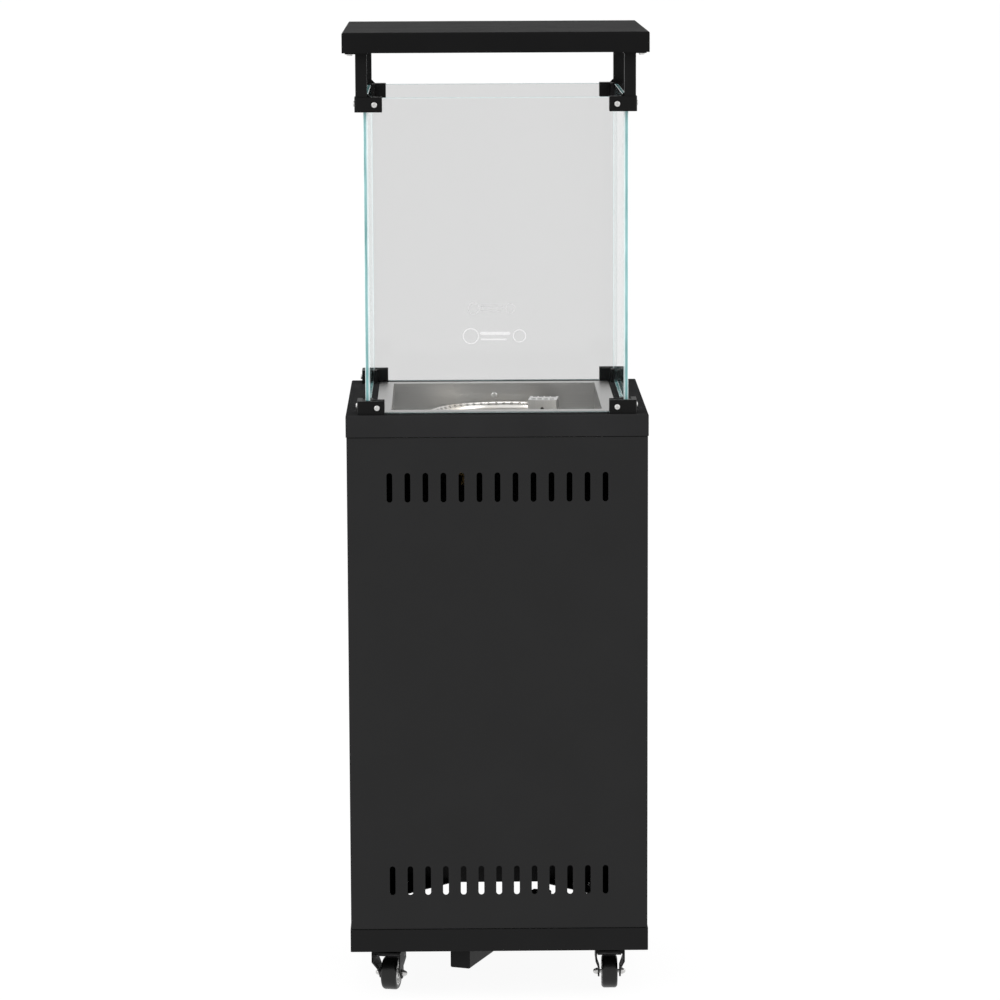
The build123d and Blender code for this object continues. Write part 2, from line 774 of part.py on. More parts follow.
def angle_piece(outer, thickness, leg_end, z_low, z_high):
    """An L-shaped block round the +X +Y corner, with its outer edge rounded."""
    body = block(leg_end, outer, leg_end, outer, z_low, z_high)
    edge = body.edges().filter_by(Axis.Z).sort_by_distance((outer, outer, (z_low + z_high) / 2))[0]
    body = fillet(edge, min(4, thickness - 1))
    inner = outer - thickness
    return body - block(leg_end - 1, inner, leg_end - 1, inner, z_low - 1, z_high + 1)


def clamp(z_low, z_high, web_low):
    """A corner clamp: an angle wall, a thin web over or under the glass, and two screw holes."""
    leg_end = clamp_outer - clamp_leg
    body = angle_piece(clamp_outer, clamp_wall, leg_end, z_low, z_high)
    reach = clamp_outer - jaw_outer + jaw_thickness
    body += angle_piece(clamp_outer, reach, leg_end, web_low, web_low + 1)
    z = (z_low + z_high) / 2
    along = clamp_outer - clamp_screw_offset
    body -= rod_along_y(2.1, along, clamp_outer - 10, clamp_outer + 2, z)
    return body - rod_along_x(2.1, clamp_outer - 10, clamp_outer + 2, along, z)


def lower_clamps():
    """The clamps at the foot of the glass."""
    made = clamp(lid_top, lower_clamp_top, lid_top)
    return group(at_corner(made, side) for side in corners.values())


def upper_clamps():
    """The clamps at the head of the glass."""
    made = clamp(upper_clamp_bottom, upper_clamp_top, glass_top)
    return group(at_corner(made, side) for side in corners.values())


def inner_jaws():
    """The angle pieces inside the glass, one at each clamp."""
    leg_end = clamp_outer - clamp_leg
    lower = angle_piece(jaw_outer, jaw_thickness, leg_end, glass_bottom, lower_clamp_top)
    upper = angle_piece(jaw_outer, jaw_thickness, leg_end, upper_clamp_bottom, glass_top)
    return group(at_corner(jaw, side) for jaw in (lower, upper) for side in corners.values())


def glass_pads():
    """Rubber pads between the clamp walls and the glass."""
    pads = []
    inner = glass_outer
    outer = clamp_outer - clamp_wall
    for z_low, z_high in clamp_levels:
        for side in corners.values():
            along_x = block(151, 171, inner, outer, z_low + 1.5, z_high - 1.5)
            along_y = block(inner, outer, 151, 171, z_low + 1.5, z_high - 1.5)
            pads += [at_corner(along_x, side), at_corner(along_y, side)]
    return group(pads)


def clamp_screws():
    """Pan-head screws that press the pads on to the glass."""
    screws = []
    along = clamp_outer - clamp_screw_offset
    inner = clamp_outer - clamp_wall
    for z_low, z_high in clamp_levels:
        z = (z_low + z_high) / 2
        facing_y = rod_along_y(2, along, inner, clamp_outer, z)
        facing_y += rod_along_y(3.8, along, clamp_outer, clamp_outer + 2.2, z)
        facing_x = rod_along_x(2, inner, clamp_outer, along, z)
        facing_x += rod_along_x(3.8, clamp_outer, clamp_outer + 2.2, along, z)
        for side in corners.values():
            screws += [at_corner(facing_y, side), at_corner(facing_x, side)]
    return group(screws)


def hood_post():
    """A square tube with a small web at its foot and a screw flange at its head."""
    low = post_outer - post_size
    flange_bottom = hood_bottom - cover_sheet
    tube = block(low, post_outer, low, post_outer, upper_clamp_top, flange_bottom)
    tube = fillet(tube.edges().filter_by(Axis.Z), 1.5)
    wall = 1.5
    near = low + wall
    far = post_outer - wall
    bore = block(near, far, near, far, upper_clamp_top + wall, flange_bottom)
    middle = post_outer - post_size / 2
    foot_z = upper_clamp_top
    foot = Polyline((low, foot_z), (low - 5, foot_z), (low, foot_z + 5), close=True)
    web = Pos(0, middle, 0) * extrude(Plane.XZ * make_face(foot), 1.5, both=True)
    near = low - 2
    far = near + post_flange
    flange = block(near, far, near, far, flange_bottom, hood_bottom)
    post = tube - bore + web + flange
    return post - upright(2.1, hood_screw_reach, hood_screw_reach, flange_bottom - 1, hood_bottom + 1)


def hood_posts():
    """The four posts between the upper clamps and the hood."""
    return group(at_corner(hood_post(), side) for side in corners.values())


def hood():
    """A shallow upturned pan with a return round its underside."""
    half = hood_size / 2
    cover = folded_cover(half, half, hood_bottom, overall_height, cover_sheet)
    inner = half - cover_sheet
    cover += ring_flange(inner, inner, 34, hood_bottom, hood_bottom + cover_sheet)
    for side in corners.values():
        hole = upright(2.1, hood_screw_reach, hood_screw_reach, hood_bottom - 1, hood_bottom + 3)
        cover -= at_corner(hole, side)
    return cover


def heat_deflector():
    """A bright plate inside the hood that turns the heat outwards."""
    bottom = hood_bottom + cover_sheet
    plate = block(-170, 170, -170, 170, bottom, bottom + 1)
    return fillet(plate.edges().filter_by(Axis.Z), 6)


def hood_screws():
    """The screws that hold the posts to the hood."""
    screws = []
    flange_bottom = hood_bottom - cover_sheet
    reach = hood_screw_reach
    shank = upright(2, reach, reach, flange_bottom, hood_bottom + 7)
    head = upright(3.8, reach, reach, flange_bottom - 2.2, flange_bottom)
    nut = Pos(reach, reach, hood_bottom + cover_sheet) * extrude(RegularPolygon(3.9, 6), 3)
    for side in corners.values():
        screws.append(at_corner(shank + head + nut, side))
    return group(screws)


# Each named part is written to its own file.

parts = {
    "base_frame": base_frame(),
    "cylinder_tray": cylinder_tray(),
    "support_bar": support_bar(),
    "castor_plates": castor_plates(),
    "castor_screws": castor_screws(),
    "front_panel": front_panel(),
    "left_panel": side_panel(-1),
    "right_panel": side_panel(1),
    "rear_frame": rear_frame(),
    "control_fascia": control_fascia(),
    "door": door(),
    "door_pull": door_pull(),
    "frame_hinges": frame_hinges(),
    "door_hinges": door_hinges(),
    "magnet_catch": magnet_catch(),
    "tilt_switch": tilt_switch(),
    "gas_valve": gas_valve(),
    "gas_inlet": gas_inlet(),
    "gas_pipe": gas_pipe(),
    "burner_injector": burner_injector(),
    "control_knob": control_knob(),
    "knob_spindle": knob_spindle(),
    "igniter_body": igniter_body(),
    "igniter_button": igniter_button(),
    "lid": lid(),
    "burner_tray": burner_tray(),
    "tray_screws": tray_screws(),
    "burner_ring": burner_ring(),
    "burner_saddles": burner_saddles(),
    "pilot_shield": pilot_shield(),
    "pilot_burner": pilot_burner(),
    "ignition_electrode": ignition_electrode(),
    "thermocouple": thermocouple(),
    "lower_clamps": lower_clamps(),
    "upper_clamps": upper_clamps(),
    "inner_jaws": inner_jaws(),
    "glass_pads": glass_pads(),
    "clamp_screws": clamp_screws(),
    "hood_posts": hood_posts(),
    "hood": hood(),
    "heat_deflector": heat_deflector(),
    "hood_screws": hood_screws(),
}
for face in ("front", "rear", "left", "right"):
    parts["glass_" + face] = glass_pane(face)
for corner, castor in castors.items():
    has_pedal = castor[3]
    parts["castor_fork_" + corner] = placed(castor_fork(has_pedal), castor)
    parts["castor_wheel_" + corner] = placed(castor_wheel(), castor)
    parts["castor_axle_" + corner] = placed(castor_axle(), castor)
    if has_pedal:
        parts["brake_pedal_" + corner] = placed(brake_pedal(), castor)

os.makedirs("parts", exist_ok=True)
for name, shape in parts.items():
    export_step(shape, "parts/" + name + ".step")
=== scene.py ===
# %% [markdown]
# # An outdoor gas heater
# The heater is a square steel cabinet on castors, a stainless burner tray in its lid, four panes of glass
# round the flame and a flat hood on four posts. The engineering model already holds every part at its true
# size. This lesson loads it, gives each part its finish, and models again the parts whose edges, screws,
# glass or wheels need more shape than an engineering model gives them.

# %% The frame
import json
from math import cos, pi, radians, sin

import bmesh
import bpy
from mathutils import Matrix, Vector


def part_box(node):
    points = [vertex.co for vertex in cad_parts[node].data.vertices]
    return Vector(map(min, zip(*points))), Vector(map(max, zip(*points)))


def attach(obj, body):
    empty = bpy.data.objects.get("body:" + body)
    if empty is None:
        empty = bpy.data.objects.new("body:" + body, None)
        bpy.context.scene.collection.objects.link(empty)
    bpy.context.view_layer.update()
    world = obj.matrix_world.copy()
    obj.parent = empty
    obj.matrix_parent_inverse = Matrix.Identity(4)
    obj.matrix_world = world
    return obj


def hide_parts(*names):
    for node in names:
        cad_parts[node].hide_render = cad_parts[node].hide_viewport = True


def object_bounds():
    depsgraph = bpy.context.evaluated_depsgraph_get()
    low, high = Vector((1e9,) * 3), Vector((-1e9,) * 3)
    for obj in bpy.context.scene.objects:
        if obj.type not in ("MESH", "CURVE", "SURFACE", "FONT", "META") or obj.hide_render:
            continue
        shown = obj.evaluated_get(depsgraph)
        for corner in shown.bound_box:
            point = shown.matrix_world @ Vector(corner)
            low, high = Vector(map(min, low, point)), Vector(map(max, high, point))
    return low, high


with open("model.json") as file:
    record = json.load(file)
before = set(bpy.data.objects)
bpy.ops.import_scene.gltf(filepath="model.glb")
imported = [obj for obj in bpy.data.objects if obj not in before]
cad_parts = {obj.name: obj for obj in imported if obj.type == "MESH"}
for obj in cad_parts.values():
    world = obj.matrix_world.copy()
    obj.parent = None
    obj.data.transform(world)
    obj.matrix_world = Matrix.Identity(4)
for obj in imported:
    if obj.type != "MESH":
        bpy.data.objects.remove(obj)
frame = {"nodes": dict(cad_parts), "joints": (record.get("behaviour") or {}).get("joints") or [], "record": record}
cad_low, cad_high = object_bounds()
scene = bpy.context.scene
scene.view_settings.view_transform = "Standard"
body_of = {name: body for body, names in frame["record"]["behaviour"]["bodies"].items() for name in names}
slot_of = {row["node"]: row["material_slot"] for row in frame["record"]["subparts"]}
print("loaded", len(frame["nodes"]), "parts, height", round(cad_high.z, 4))

# %% [markdown]
# ## Camera
# A long lens a few metres away keeps the uprights nearly parallel, as in a catalogue picture. The camera
# stands a little above the hood, so that the lid and the burner tray show through the glass. Its axes are
# worked out from three small angles: the way it faces, how far it looks down, and a trace of roll.

# %% Camera
camera_place = Vector((-0.0655, -5.512, 1.5061))
camera_turn = radians(0.740)
camera_down = radians(8.814)
camera_roll = radians(-0.239)
camera_lens = 146.7

reach = cos(camera_down)
forward = Vector((sin(camera_turn) * reach, cos(camera_turn) * reach, -sin(camera_down)))
level = Vector((cos(camera_turn), -sin(camera_turn), 0))
above = level.cross(forward)
camera_right = level * cos(camera_roll) + above * sin(camera_roll)
camera_up = above * cos(camera_roll) - level * sin(camera_roll)

camera = bpy.data.objects.new("camera", bpy.data.cameras.new("camera"))
scene.collection.objects.link(camera)
camera.data.lens = camera_lens
camera.data.clip_end = 200
camera_stand = Matrix((camera_right, camera_up, -forward)).transposed().to_4x4()
camera.matrix_world = Matrix.Translation(camera_place) @ camera_stand
scene.camera = camera

# %% [markdown]
# ## Room
# The floor is one wide pale sheet, and the sky is an even white, so that nothing but the heater draws the
# eye. Two large soft lamps stand high at the left and right, and a third hangs high behind the heater.

# %% Room
def floor_sheet():
    bpy.ops.object.select_all(action="DESELECT")
    bpy.ops.mesh.primitive_grid_add(x_subdivisions=4, y_subdivisions=4, size=160)
    return bpy.context.object


def soft_lamp(name, place, aim, size, watts):
    lamp = bpy.data.objects.new(name, bpy.data.lights.new(name, "AREA"))
    lamp.data.size = size
    lamp.data.energy = watts
    lamp.location = place
    lamp.rotation_euler = (Vector(aim) - Vector(place)).to_track_quat("-Z", "Y").to_euler()
    scene.collection.objects.link(lamp)


floor = floor_sheet()
floor.name = "floor"
floor_paint = bpy.data.materials.new("pale_floor")
floor_paint.use_nodes = True
floor_shader = floor_paint.node_tree.nodes["Principled BSDF"]
floor_shader.inputs["Base Color"].default_value = (0.07, 0.07, 0.07, 1)
floor_shader.inputs["Roughness"].default_value = 0.9
floor_shader.inputs["Specular IOR Level"].default_value = 0.0
floor_shader.inputs["Emission Color"].default_value = (1, 1, 1, 1)
floor_shader.inputs["Emission Strength"].default_value = 0.94
floor.data.materials.append(floor_paint)
heater_middle = (cad_low + cad_high) / 2
soft_lamp("lamp_left", (-2.6, -1.6, 3.0), heater_middle, 2.0, 45)
soft_lamp("lamp_right", (2.8, -1.2, 2.6), heater_middle, 2.0, 30)
soft_lamp("lamp_top", (0.0, 1.5, 3.6), heater_middle, 1.6, 25)

world = bpy.data.worlds.new("white_room")
world.use_nodes = True
world.node_tree.nodes["Background"].inputs["Color"].default_value = (1, 1, 1, 1)
world.node_tree.nodes["Background"].inputs["Strength"].default_value = 1.0
scene.world = world

# %% [markdown]
# ## A way to write finishes
# A finish is a small web of nodes. Written as node calls it is hard to follow, so a Wire stands for one
# socket and can be added and multiplied as a number can. A Finish is a material with one method that adds
# any node. All patterns read Object coordinates in metres, so a scale of 500 gives grains 2 mm apart.

# %% Wires
class Wire:
    """One socket of a finish. Sums and products of wires add the Math nodes that work them out."""

    def __init__(self, finish, socket):
        self.finish = finish
        self.socket = socket

    def maths(self, operation, *values):
        return self.finish.node("ShaderNodeMath", {"operation": operation}, dict(enumerate(values)))

    def __add__(self, other):
        return self.maths("ADD", self, other)

    def __sub__(self, other):
        return self.maths("SUBTRACT", self, other)

    def __rsub__(self, other):
        return self.maths("SUBTRACT", other, self)

    def __truediv__(self, other):
        return self.maths("DIVIDE", self, other)

    def __pow__(self, other):
        return self.maths("POWER", self, other)

    def __abs__(self):
        return self.maths("ABSOLUTE", self)

    def __mul__(self, other):
        return self.maths("MULTIPLY", self, other)

    def __gt__(self, other):
        return self.maths("GREATER_THAN", self, other)

    __radd__ = __add__
    __rmul__ = __mul__


# %% [markdown]
# ## Finishes
# A finish starts as a plain shader. Constants are set on its sockets, and whatever varies is fed in as a wire.

# %% Finishes
class Finish:
    """A material whose one shader takes constants on its own sockets and wires on the rest."""

    def __init__(self, name, **constants):
        self.material = bpy.data.materials.new(name)
        self.material.use_nodes = True
        self.tree = self.material.node_tree
        self.shader = self.tree.nodes["Principled BSDF"]
        for socket, value in constants.items():
            self.shader.inputs[socket.replace("_", " ")].default_value = value

    def node(self, kind, settings=None, inputs=None, out=0):
        """Adds a node, with its settings first and then the values or wires of its sockets."""
        made = self.tree.nodes.new(kind)
        for key, value in (settings or {}).items():
            if key == "stops":
                for stop, (position, colour) in zip(made.color_ramp.elements, value):
                    stop.position = position
                    stop.color = (*colour, 1)
            else:
                setattr(made, key, value)
        for key, value in (inputs or {}).items():
            if isinstance(value, Wire):
                self.tree.links.new(value.socket, made.inputs[key])
            else:
                made.inputs[key].default_value = value
        return Wire(self, made.outputs[out])

    def feed(self, socket, wire):
        self.tree.links.new(wire.socket, self.shader.inputs[socket])

    def place(self, scale=(1, 1, 1), turn=(0, 0, 0)):
        """Object coordinates, stretched by a scale for each axis."""
        here = self.node("ShaderNodeTexCoord", out="Object")
        return self.node("ShaderNodeMapping", inputs={"Vector": here, "Scale": scale, "Rotation": turn})

    def noise(self, where, scale, detail=3.0, roughness=0.5):
        values = {"Vector": where, "Scale": scale, "Detail": detail, "Roughness": roughness}
        return self.node("ShaderNodeTexNoise", inputs=values, out="Fac")

    def blend(self, factor, first, second):
        values = {0: factor, 6: (*first, 1), 7: (*second, 1)}
        return self.node("ShaderNodeMix", {"data_type": "RGBA"}, values, out=2)

    def bump(self, height, distance, strength=1.0):
        values = {"Height": height, "Distance": distance, "Strength": strength}
        self.feed("Normal", self.node("ShaderNodeBump", inputs=values))


def between(wire, low, high):
    """A wire that runs from 0 to 1, stretched to run from low to high."""
    return wire * (high - low) + low


def shade(colour, factor):
    return tuple(min(1.0, channel * factor) for channel in colour)


# %% [markdown]
# ## Powder coat
# Nearly all of the heater is folded sheet steel with a satin black powder coat. The powder melts into a skin
# that is not quite flat: fine orange peel about a millimetre apart, a slow swell under it, and a few specks
# where a grain melted late. The colour hardly varies, but the gloss does, and that is what the eye reads.

# %% Powder coat
def powder_coat(name, tone, gloss):
    finish = Finish(name, Specular_IOR_Level=gloss)
    here = finish.place()
    peel = finish.noise(here, 900, 2.0)
    swell = finish.noise(here, 14, 3.0)
    specks = finish.noise(here, 2600, 1.0) > 0.72
    colour = (tone, tone, tone * 1.02)
    finish.feed("Base Color", finish.blend(swell, shade(colour, 0.86), shade(colour, 1.14)))
    finish.feed("Roughness", between(swell * 0.6 + peel * 0.4, 0.42, 0.58) + specks * 0.05)
    finish.bump(peel * 0.8 + specks * 0.25 + swell * 0.4, 0.00012, 0.6)
    return finish.material


# These five are one black powder coat. Their different tones are painted light and shade: the lid is painted
# lighter than the cabinet, and the base, hood and fittings are painted darker.
coat_cabinet = powder_coat("powder_coat_cabinet", 0.012, 0.16)
coat_base = powder_coat("powder_coat_base", 0.008, 0.10)
coat_lid = powder_coat("powder_coat_lid", 0.023, 0.0)
coat_hood = powder_coat("powder_coat_hood", 0.009, 0.004)
coat_fittings = powder_coat("powder_coat_fittings", 0.003, 0.12)

# %% [markdown]
# ## Stainless steel
# The burner tray is brushed: fine lines all along X, some deeper than others. A noise stretched a hundred
# times along X gives the lines, and they feed the colour, the gloss and a very shallow bump together, so
# that each line is seen as one scratch. The burner tube is only polished, and straw-coloured by its heat.

# %% Stainless steel
def brushed_steel(name, tone, stretch, low_gloss, high_gloss, metal=1.0):
    finish = Finish(name, Metallic=metal)
    lines = finish.noise(finish.place(stretch), 9, 4.0, 0.65)
    clouds = finish.noise(finish.place(), 7, 2.0)
    colour = (tone, tone * 0.995, tone * 0.98)
    finish.feed("Base Color", finish.blend(lines, shade(colour, 0.78), shade(colour, 1.16)))
    finish.feed("Roughness", between(lines * 0.7 + clouds * 0.3, low_gloss, high_gloss))
    finish.bump(lines, 0.00006, 0.8)
    return finish.material


def heated_steel(name, tone):
    finish = Finish(name, Metallic=1.0)
    here = finish.place()
    clouds = finish.noise(here, 22, 3.0)
    grain = finish.noise(here, 700, 2.0)
    colour = (tone, tone * 0.98, tone * 0.94)
    straw = (tone * 0.92, tone * 0.80, tone * 0.60)
    finish.feed("Base Color", finish.blend((clouds - 0.45) * 1.6, colour, straw))
    finish.feed("Roughness", between(clouds * 0.5 + grain * 0.5, 0.16, 0.36))
    finish.bump(grain, 0.00004, 0.6)
    return finish.material


along_x = (3, 260, 260)
along_z = (260, 260, 3)
steel_tray = brushed_steel("brushed_tray", 0.50, along_x, 0.24, 0.42)
steel_shield = brushed_steel("brushed_shield", 0.74, along_z, 0.22, 0.40)
steel_burner = heated_steel("burner_tube", 0.80)
steel_zinc = brushed_steel("zinc_plate", 0.62, (120, 120, 120), 0.22, 0.38, 0.75)
steel_deflector = brushed_steel("bright_deflector", 0.66, along_x, 0.20, 0.34)
metal_aluminium = brushed_steel("drawn_tube", 0.72, (60, 60, 60), 0.24, 0.40)

# %% [markdown]
# ## Brass, plastic, rubber and ceramic
# These are small parts, but each is seen close up when the door is open or from behind. Brass has turning
# marks and a little tarnish, moulded plastic a fine spark-eroded grain, rubber a dull bloom, and the
# electrode's ceramic a glaze with faint crazing.

# %% Small finishes
def machined_brass():
    finish = Finish("machined_brass", Metallic=1.0)
    tarnish = finish.noise(finish.place(), 60, 4.0)
    marks = finish.noise(finish.place((1, 1, 14)), 160, 2.0)
    finish.feed("Base Color", finish.blend(tarnish, (0.72, 0.50, 0.20), (0.48, 0.31, 0.12)))
    finish.feed("Roughness", between(tarnish * 0.5 + marks * 0.5, 0.20, 0.46))
    finish.bump(marks, 0.00004, 0.7)
    return finish.material


def grained(name, colour, gloss, low_gloss, high_gloss, grain_scale, depth):
    """Moulded plastic or rubber: one colour, a fine grain, and a slow change of gloss."""
    finish = Finish(name, Specular_IOR_Level=gloss)
    here = finish.place()
    grain = finish.noise(here, grain_scale, 2.0)
    bloom = finish.noise(here, 35, 3.0)
    finish.feed("Base Color", finish.blend(bloom, shade(colour, 0.8), shade(colour, 1.25)))
    finish.feed("Roughness", between(grain * 0.4 + bloom * 0.6, low_gloss, high_gloss))
    finish.bump(grain, depth, 0.7)
    return finish.material


metal_brass = machined_brass()
plastic_black = grained("moulded_black", (0.014, 0.014, 0.015), 0.4, 0.34, 0.52, 1800, 0.00006)
plastic_hub = grained("moulded_hub", (0.84, 0.84, 0.82), 0.45, 0.30, 0.46, 1500, 0.00004)
rubber_tyre = grained("tyre_tread", (0.004, 0.004, 0.004), 0.35, 0.22, 0.42, 700, 0.00010)
rubber_pad = grained("silicone_pad", (0.010, 0.010, 0.010), 0.3, 0.60, 0.80, 900, 0.00006)
ceramic_white = grained("glazed_ceramic", (0.80, 0.77, 0.70), 0.6, 0.12, 0.24, 300, 0.00003)
paint_mark = grained("printed_mark", (0.72, 0.72, 0.70), 0.3, 0.42, 0.58, 1200, 0.00001)

# %% [markdown]
# ## Clear glass with green edges
# The panes are 5 mm toughened glass. Looked through, such a pane is nearly clear, and it shows mostly by its
# gloss, which grows at a slant. Looked at along its edge, light runs through half a metre of it, and the
# iron in the glass turns it blue-green. So a pane gets two finishes: a thin veil on its faces and a
# strongly coloured one on its narrow edges. The rear pane has a faint grey tint, which the others lack.

# %% Glass
def clear_glass(name, tone, veil, slant_veil):
    """Nearly all alpha: a dark veil, with more gloss where the face is seen at a slant."""
    finish = Finish(name, Specular_IOR_Level=0.8)
    slant = finish.node("ShaderNodeLayerWeight", inputs={"Blend": 0.12}, out="Fresnel")
    wipe = finish.noise(finish.place((1, 1, 0.3)), 5, 2.0)
    smear = finish.noise(finish.place((2, 2, 0.5)), 11, 3.0)
    finish.feed("Base Color", finish.blend(wipe, shade(tone, 0.9), shade(tone, 1.1)))
    finish.feed("Alpha", slant * slant_veil + between(wipe, veil * 0.95, veil * 1.05))
    finish.feed("Roughness", between(smear, 0.02, 0.07))
    return finish.material


def edge_glass(name, deep, pale, low_alpha, high_alpha):
    """The coloured edge of a pane, streaked along its height."""
    finish = Finish(name, Specular_IOR_Level=0.7)
    streaks = finish.noise(finish.place((60, 60, 4)), 6, 3.0)
    finish.feed("Base Color", finish.blend((streaks - 0.3) * 2.2, deep, pale))
    finish.feed("Roughness", between(streaks, 0.10, 0.34))
    finish.feed("Alpha", between(streaks, low_alpha, high_alpha))
    return finish.material


glass_clear = clear_glass("glass_clear", (0.10, 0.14, 0.14), 0.004, 0.30)
glass_tinted = clear_glass("glass_tinted", (0.055, 0.057, 0.057), 0.185, 0.30)
glass_edge = edge_glass("glass_edge", (0.08, 0.26, 0.26), (0.27, 0.52, 0.53), 0.90, 0.98)
glass_edge_faint = edge_glass("glass_edge_faint", (0.40, 0.52, 0.52), (0.56, 0.66, 0.66), 0.25, 0.40)
# The arris finish is a painted highlight: a near-white, nearly opaque edge that stands for the glints along the
# ground arris.
glass_arris_painted_highlight = edge_glass("glass_arris_painted_highlight", (0.66, 0.82, 0.82), (0.86, 0.96, 0.96), 0.70, 0.95)

# %% [markdown]
# ## The modelling bench
# Everything below is modelled with the same few moves: select only one piece, pick its faces by where they
# are or which way they look, run an operator on them, and apply modifiers. These helpers name those moves.
# Deselecting first matters, because an operator acts on all that is selected.

# %% Bench helpers
def only(piece):
    """Selects one piece and nothing else."""
    bpy.ops.object.select_all(action="DESELECT")
    piece.select_set(True)
    bpy.context.view_layer.objects.active = piece
    return piece


def edit(piece):
    only(piece)
    bpy.ops.object.mode_set(mode="EDIT")
    bpy.ops.mesh.select_mode(type="FACE")


def done():
    bpy.ops.object.mode_set(mode="OBJECT")


def pick(piece, test):
    """In edit mode, selects the faces whose centre and normal pass a test."""
    mesh = bmesh.from_edit_mesh(piece.data)
    bpy.ops.mesh.select_all(action="DESELECT")
    found = [face for face in mesh.faces if test(face.calc_center_median(), face.normal)]
    for face in found:
        face.select_set(True)
    mesh.select_flush_mode()
    bmesh.update_edit_mesh(piece.data)
    return len(found)


def modify(piece, kind, **settings):
    """Adds a modifier and applies it."""
    modifier = piece.modifiers.new(kind.lower(), kind)
    for key, value in settings.items():
        setattr(modifier, key, value)
    only(piece)
    bpy.ops.object.modifier_apply(modifier=modifier.name)


def smooth(piece, angle=32):
    only(piece)
    bpy.ops.object.shade_smooth_by_angle(angle=radians(angle))


def round_edges(piece, width, segments=2, angle=32):
    """Rounds every sharp edge by a bevel, and shades what is left smooth."""
    limit = radians(angle)
    modify(piece, "BEVEL", width=width, segments=segments, limit_method="ANGLE", angle_limit=limit)
    smooth(piece, angle)
    modify(piece, "WEIGHTED_NORMAL", mode="FACE_AREA", weight=100, keep_sharp=True)


def brick(name, low, high):
    """A box between two corners, to be shaped further."""
    low, high = Vector(low), Vector(high)
    bpy.ops.object.select_all(action="DESELECT")
    bpy.ops.mesh.primitive_cube_add(size=1, location=(low + high) / 2, scale=high - low)
    bpy.ops.object.transform_apply(location=True, rotation=True, scale=True)
    bpy.context.object.name = name
    return bpy.context.object


def drum(name, radius, depth, sides=48):
    """A cylinder about the origin, standing along Z, to be shaped further."""
    bpy.ops.object.select_all(action="DESELECT")
    bpy.ops.mesh.primitive_cylinder_add(vertices=sides, radius=radius, depth=depth, end_fill_type="NGON")
    bpy.context.object.name = name
    return bpy.context.object


def moved_copy(piece, name, matrix):
    """A copy with its own mesh, moved in its mesh."""
    made = piece.copy()
    made.data = piece.data.copy()
    made.data.transform(matrix)
    made.name = name
    scene.collection.objects.link(made)
    return made


def joined(pieces, name):
    only(pieces[0])
    for piece in pieces:
        piece.select_set(True)
    bpy.ops.object.join()
    bpy.context.object.name = name
    return bpy.context.object


def mount(piece, body, slot, material, *nodes):
    """Gives a finished piece its material, its body and the parts that it stands for. The slot argument is not
    used.
    """
    if material:
        piece.data.materials.clear()
        piece.data.materials.append(material)
    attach(piece, body)
    if nodes:
        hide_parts(*nodes)
    return piece


def coat(material, *nodes):
    """Gives engineering parts that are right as they are their finish."""
    for node in nodes:
        for place in frame["nodes"][node].material_slots:
            place.link = "OBJECT"
            place.material = material


# %% [markdown]
# ## Folded sheet
# Sheet steel never has a knife edge. A fold has a radius, and even a cut edge is rounded by the coat, so each
# edge carries a thin bright line that a sharp model lacks. The folded parts already have the right shape, so
# a copy of each is merged into one skin, its flat faces are joined again, and a small bevel rounds the rest.

# %% Folded sheet
def rounded_copy(node, width, segments=2, angle=32):
    """A merged copy of an engineering part, with its edges rounded."""
    source = frame["nodes"][node]
    piece = moved_copy(source, node + "_finished", Matrix.Identity(4))
    piece.parent = None
    for key in list(piece.keys()):
        del piece[key]
    edit(piece)
    bpy.ops.mesh.select_all(action="SELECT")
    bpy.ops.mesh.remove_doubles(threshold=0.00001)
    bpy.ops.mesh.dissolve_limited(angle_limit=radians(1))
    done()
    only(piece)
    bpy.ops.mesh.customdata_custom_splitnormals_clear()
    round_edges(piece, width, segments, angle)
    return piece


def refinish(node, material, width, segments=2, angle=32):
    piece = rounded_copy(node, width, segments, angle)
    mount(piece, body_of[node], slot_of[node], material, node)
    print(piece.name, len(piece.data.polygons), "faces")
    return piece


for node in ("front_panel", "left_panel", "right_panel", "rear_frame", "control_fascia", "door"):
    refinish(node, coat_cabinet, 0.00035)
for node in ("base_frame", "support_bar", "cylinder_tray"):
    refinish(node, coat_base, 0.00035)
refinish("lid", coat_lid, 0.0003)
refinish("hood", coat_hood, 0.0003)
for node in ("lower_clamps", "upper_clamps", "inner_jaws", "hood_posts"):
    refinish(node, coat_fittings, 0.0005, 3)
for node in ("frame_hinges", "door_hinges"):
    refinish(node, coat_fittings, 0.0002)
castor_corners = ("front_left", "front_right", "rear_left", "rear_right")
for corner in castor_corners:
    refinish("castor_fork_" + corner, coat_fittings, 0.00035)

# %% [markdown]
# ## Moulded and metal parts
# The knob, the button, the door pull and the pedals are moulded, with softer edges than folded steel. The
# tray, the pilot shield and the deflector are thin stainless sheet. What is round already, such as the
# burner tube and the gas pipe, only needs its finish.

# %% Other finishes
for node in ("control_knob", "igniter_button", "igniter_body", "door_pull", "magnet_catch", "tilt_switch"):
    refinish(node, plastic_black, 0.0006, 3)
for corner in castor_corners[:2]:
    refinish("brake_pedal_" + corner, plastic_black, 0.0004)
refinish("burner_tray", steel_tray, 0.0003)
refinish("pilot_shield", steel_shield, 0.0002)
refinish("heat_deflector", steel_deflector, 0.0003)
refinish("gas_valve", metal_brass, 0.0005)
refinish("gas_inlet", metal_brass, 0.0004)
refinish("burner_injector", metal_brass, 0.0003)
coat(steel_burner, "burner_ring", "burner_saddles", "thermocouple", "knob_spindle")
coat(metal_brass, "pilot_burner")
coat(metal_aluminium, "gas_pipe")
coat(ceramic_white, "ignition_electrode")
coat(rubber_pad, "glass_pads")
coat(coat_fittings, "castor_plates")
coat(steel_zinc, "castor_screws", *("castor_axle_" + corner for corner in castor_corners))

